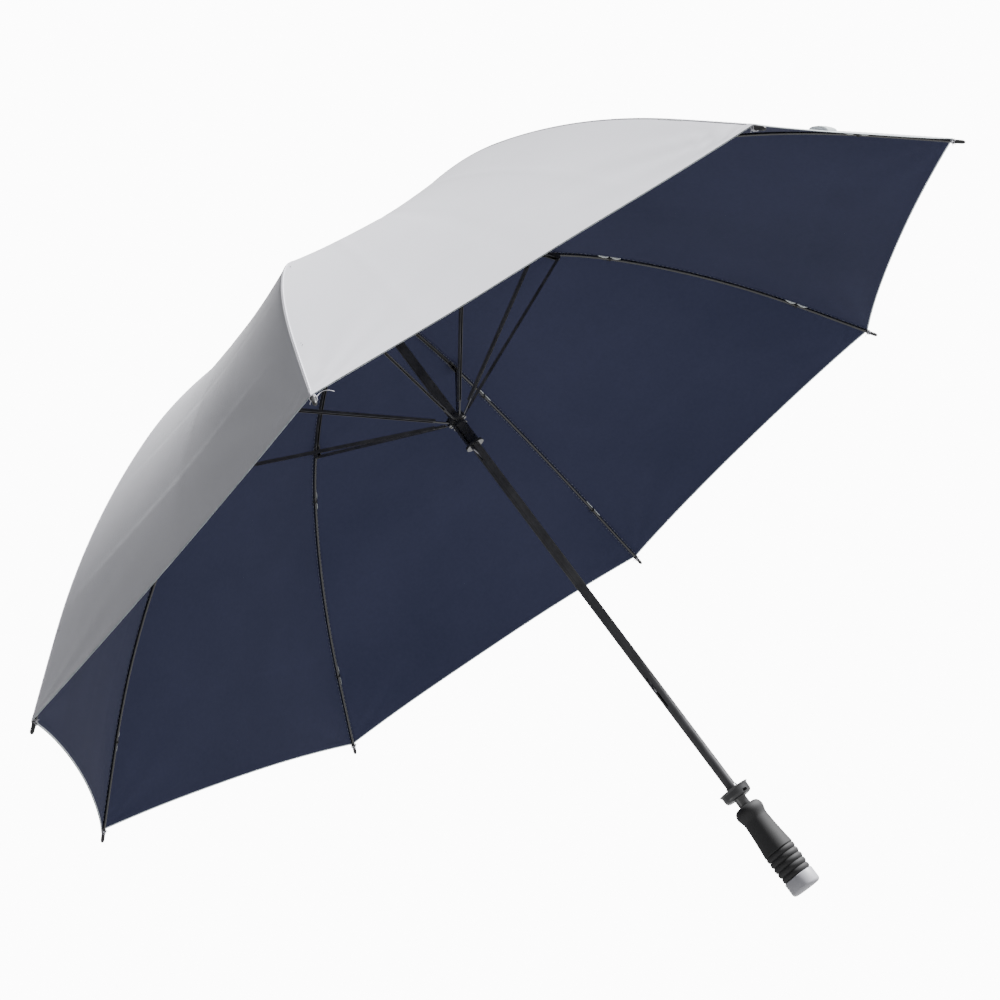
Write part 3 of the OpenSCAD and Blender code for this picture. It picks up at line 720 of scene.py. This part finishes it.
def tip_threads(heap, rib):
    """White thread that holds the fabric's corner to the tip: slanting loops, knotted, with cut ends."""
    rng = np.random.default_rng(11 + rib)
    for k in range(3):
        place = rib_frame(rib, CLOTH_LENGTH - 1.5 * MM + 1.6 * MM * k)
        size = TIP_THREAD_R + 0.25 * MM * rng.random()
        lean = (0.6 + 0.8 * rng.random()) * MM
        thread_loop(heap, place, (size, size), lean, 0.2 * MM, TIP_THREAD, 2)
    origin, along, side, up = rib_frame(rib, CLOTH_LENGTH + 1.5 * MM)
    first_end = LONG_END if rib == RIBS - 1 else SHORT_END
    for sign, length in ((1, first_end), (-1, OTHER_END)):
        t = np.linspace(0, 1, 14)[:, None]
        curve = origin + side * (sign * (2.9 * MM + 0.75 * length * t))
        curve = curve - up * (1.0 * MM + 0.45 * length * t ** 2) - along * (0.35 * length * np.sin(2.4 * t))
        verts, faces = tube_path(curve, TIP_THREAD_END, 7)
        heap.add(verts, faces, 2)


def rib_trim(rib):
    """The ties along a rod and the threads at its tip."""
    heap = Heap()
    for share in TIE_SHARE:
        tie(heap, rib, share)
    tip_threads(heap, rib)
    ob = heap.build(f"trim_{rib + 1}", [M["tape"], M["black_thread"], M["thread"]])
    ob.data.uv_layers.new(name="cloth")
    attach(ob, f"rod_{rib + 1}")


TAB_AT = 0.6                          # the tab's place across its panel
TAB_L, TAB_HALF, TAB_PUFF = 24 * MM, 12 * MM, 4 * MM
TAB_T, TAB_GAP = 1.0 * MM, 0.2 * MM
TAB_STITCH_R = 0.25 * MM


def closure_tab():
    """A tape tab outside the hem, folded over on itself so that it stands proud, with a stitched box."""
    rows, cols = 15, 9
    t, c = np.meshgrid(np.linspace(0, 1, rows), np.linspace(-1, 1, cols), indexing="ij")
    span = 2 * seam(np.array([0.98]))[0][0][0] * math.sin(STEP / 2)
    u = 1 - HEM_SHARE * 0.4 - (1 - t) * TAB_L / CLOTH_LENGTH
    w = TAB_AT + c * TAB_HALF / span
    puff = TAB_PUFF * np.sin(math.pi * np.clip(t, 0, 1)) ** 0.5 * (1 - 0.15 * c * c)
    low = cloth(TAB_PANEL, w, u, HEM_T / 2 + TAB_GAP)
    top = cloth(TAB_PANEL, w, u, HEM_T / 2 + TAB_T + puff)
    heap = Heap()
    faces = [f for part in shell_faces(rows, cols) for f in part]
    heap.add(np.concatenate([top.reshape(-1, 3), low.reshape(-1, 3)]), faces, 0)
    corners = [(1, 1), (1, cols - 2), (6, cols - 2), (6, 1), (1, 1), (6, cols - 2), (1, cols - 2), (6, 1)]
    for (i, j), (m, n) in zip(corners, corners[1:]):
        a, b = top[i, j], top[m, n]
        steps = 7
        for k in range(steps):
            p, q = a + (b - a) * (k + 0.1) / steps, a + (b - a) * (k + 0.75) / steps
            verts, faces = tube_path([p, (p + q) / 2, q], TAB_STITCH_R, 5)
            heap.add(verts, faces, 1)
    ob = heap.build("closure_tab", [M["tab"], M["silver_thread"]])
    ob.data.uv_layers.new(name="cloth")
    fold(ob, TAB_PANEL + 1, -1, "outer")
    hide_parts("closure_strap")


def build_canopy():
    """All the fabric: two half panels a side of each rib, the seams, the trim and the tab."""
    first = None
    for rib in range(RIBS):
        for side in (1, -1):
            for part in ("inner", "outer"):
                ob = half_panel(rib, side, part)
                first = first or ob
        seam_band(rib)
        rib_trim(rib)
    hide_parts("canopy")
    closure_tab()


# ---------------------------------------------------------------- handle

GRIP_LOW, GRIP_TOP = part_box("grip")[0].z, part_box("grip")[1].z
GRIP_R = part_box("grip")[1].x
CAP_R, CAP_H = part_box("end_cap")[1].x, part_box("end_cap")[1].z
BORE_R = 6.2 * MM
RIDGES, RIDGE_FROM, RIDGE_H = 5, 0.36, 1.9 * MM
WAIST_AT, WAIST_R = 0.8, 14.75 * MM
BULB_AT, BULB_R, NECK_R = 0.915, 17 * MM, 10.5 * MM
CAP_EDGE, CAP_FLOOR = 4 * MM, 5 * MM  # the cap's rounded rim and the thickness of its end
DIMPLE, DIMPLE_R, VENT_R = 0.5 * MM, 7 * MM, 0.4 * MM                  # its moulded dimple and vent hole
MOULD_LINE_H, MOULD_LINE_W = 0.18 * MM, 0.02


def grip_radius(u):
    """Radius of the grip at share u of its height: ridges, a long taper, a waist and a rounded shoulder."""
    if u > BULB_AT:
        return NECK_R + (BULB_R - NECK_R) * math.sqrt(max(0, 1 - ((u - BULB_AT) / (1 - BULB_AT)) ** 2))
    if u > WAIST_AT:
        t = (u - WAIST_AT) / (BULB_AT - WAIST_AT)
        return WAIST_R + (BULB_R - WAIST_R) * t * t * (3 - 2 * t)
    if u > RIDGE_FROM:
        return WAIST_R + (GRIP_R - WAIST_R) * ((WAIST_AT - u) / (WAIST_AT - RIDGE_FROM)) ** 1.4
    t = min(1, 2 * u / RIDGE_FROM)
    peak = CAP_R - 0.5 * MM + (GRIP_R - CAP_R + 0.5 * MM) * t * t * (3 - 2 * t)
    return peak - RIDGE_H * (1 - math.sqrt(abs(math.sin(math.pi * RIDGES * u / RIDGE_FROM))))


def build_handle():
    """The grip and the cap, turned about the shaft's axis on the CAD's own sizes."""
    height = GRIP_TOP - GRIP_LOW
    shares = np.concatenate([np.linspace(0, RIDGE_FROM, 121), np.linspace(RIDGE_FROM + 0.002, BULB_AT, 60),
                             BULB_AT + (1 - BULB_AT) * np.sin(np.linspace(0.08, 1, 14) * math.pi / 2)])
    outline = [(grip_radius(u), GRIP_LOW + height * u) for u in shares]
    outline = [(BORE_R, GRIP_LOW)] + outline + [(BORE_R, GRIP_TOP)]

    def mould_line(r, z, a):
        near = abs(math.sin(a - 0.5))
        return r + (MOULD_LINE_H * math.exp(-(near / MOULD_LINE_W) ** 2) if r > BORE_R else 0)

    grip = lathe("grip_body", outline, M["rubber"], 144, wobble=mould_line)
    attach(grip, "shaft")
    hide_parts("grip")
    rim = [(CAP_R - CAP_EDGE + CAP_EDGE * math.cos(a), CAP_EDGE + CAP_EDGE * math.sin(a))
           for a in np.linspace(-math.pi / 2, 0, 12)]
    outline = [(VENT_R, DIMPLE), (DIMPLE_R, DIMPLE), (DIMPLE_R + 0.6 * MM, 0)] + rim
    outline += [(CAP_R, CAP_H - 1.0 * MM), (CAP_R - 0.3 * MM, CAP_H - 0.3 * MM), (CAP_R - 1.0 * MM, CAP_H)]
    outline += [(BORE_R, CAP_H), (BORE_R, CAP_FLOOR), (VENT_R, CAP_FLOOR)]
    cap = lathe("cap_body", outline, M["grey"], 128)
    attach(cap, "shaft")
    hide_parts("end_cap")


def soften_edges():
    """Rounds the moulded edges of the carried-over plastic and folded steel."""
    widths = {"runner": 0.5, "tip_cup": 0.4, "top_notch": 0.4, "canopy_cap": 0.5, "ferrule": 0.5}
    for name, width in widths.items():
        ob = frame["nodes"][name]
        weld = ob.modifiers.new("weld", "WELD")
        weld.merge_threshold = 0.01 * MM
        bevel = ob.modifiers.new("round", "BEVEL")
        bevel.width = width * MM
        bevel.segments = 2
        bevel.limit_method = "ANGLE"
        bevel.angle_limit = math.radians(50)


# ---------------------------------------------------------------- stage, camera, light


def plane(name, size, z, material):
    """A square of the stage."""
    s = size / 2
    corners = [(-s, -s, z), (s, -s, z), (s, s, z), (-s, s, z)]
    ob = new_object(name, corners, [(0, 1, 2, 3)], [material], smooth=False)
    return ob


FLOOR_SIZE, FLOOR_Z = 16.0, -0.75
BACKDROP_SEEN, STUDIO_LIGHT, STUDIO_GLOSS = 12.0, 0.08, 0.45
KEY_STRENGTH, KEY_AZIMUTH, KEY_HEIGHT, KEY_SPREAD = 14.5, 147, 29, 14             # angles in degrees
FILL_POWER, FILL_SIZE = 8, 1.2
FILL_AT, FILL_AIM = Vector((1.7, -0.3, -0.65)), Vector((0, 0, 0.6))


def build_stage():
    """A pale floor under a white backdrop. Only the camera sees the backdrop's full brightness."""
    n = Nodes("floor")
    cloud = n.noise(n.position(), 0.8, 2.0)
    tint = n.mix(cloud, rgba(0.38, 0.38, 0.38), rgba(0.42, 0.42, 0.42))
    floor = n.surface(Base_Color=tint, Roughness=0.9)
    plane("floor", FLOOR_SIZE, FLOOR_Z, floor)
    world = bpy.data.worlds.new("studio")
    bpy.context.scene.world = world
    world.use_nodes = True
    tree = world.node_tree
    tree.nodes.clear()
    out = tree.nodes.new("ShaderNodeOutputWorld")
    seen = tree.nodes.new("ShaderNodeBackground")
    seen.inputs["Color"].default_value = rgba(1, 1, 1)
    seen.inputs["Strength"].default_value = BACKDROP_SEEN
    light = tree.nodes.new("ShaderNodeBackground")
    light.inputs["Color"].default_value = rgba(0.97, 0.98, 1.0)
    path = tree.nodes.new("ShaderNodeLightPath")
    strength = tree.nodes.new("ShaderNodeMath")
    strength.operation = "MULTIPLY_ADD"
    tree.links.new(path.outputs["Is Glossy Ray"], strength.inputs[0])
    strength.inputs[1].default_value = STUDIO_GLOSS
    strength.inputs[2].default_value = STUDIO_LIGHT
    tree.links.new(strength.outputs[0], light.inputs["Strength"])
    mix = tree.nodes.new("ShaderNodeMixShader")
    tree.links.new(path.outputs["Is Camera Ray"], mix.inputs[0])
    tree.links.new(light.outputs[0], mix.inputs[1])
    tree.links.new(seen.outputs[0], mix.inputs[2])
    tree.links.new(mix.outputs[0], out.inputs["Surface"])


def key_light():
    """One soft light from far off, high on the side of the lit panels."""
    data = bpy.data.lights.new("key", "SUN")
    data.energy = KEY_STRENGTH
    data.angle = math.radians(KEY_SPREAD)
    ob = bpy.data.objects.new("key", data)
    turn, height = math.radians(KEY_AZIMUTH), math.radians(KEY_HEIGHT)
    away = Vector((math.cos(height) * math.cos(turn), math.cos(height) * math.sin(turn), math.sin(height)))
    ob.location = 4 * away
    ob.rotation_euler = (-away).to_track_quat("-Z", "Y").to_euler()
    bpy.context.scene.collection.objects.link(ob)


def fill_light():
    """A weak soft light from below, opposite the key, that lifts the inside of the canopy."""
    data = bpy.data.lights.new("fill", "AREA")
    data.shape = "DISK"
    data.size = FILL_SIZE
    data.energy = FILL_POWER
    ob = bpy.data.objects.new("fill", data)
    ob.location = FILL_AT
    ob.rotation_euler = (FILL_AIM - FILL_AT).to_track_quat("-Z", "Y").to_euler()
    bpy.context.scene.collection.objects.link(ob)


def build_camera():
    """The umbrella leans in the picture, so the camera is rolled. It looks up from beside the handle."""
    data = bpy.data.cameras.new("camera")
    data.lens = 76.30
    data.shift_x = -0.0106
    data.shift_y = -0.0294
    cam = bpy.data.objects.new("camera", data)
    cam.location = (1.4360, 1.9024, -0.1292)
    cam.rotation_euler = [math.radians(a) for a in (110.58, 35.18, 154.79)]
    bpy.context.scene.collection.objects.link(cam)
    bpy.context.scene.camera = cam


dress_cad_nodes()
build_canopy()
build_handle()
soften_edges()
build_stage()
key_light()
fill_light()
build_camera()
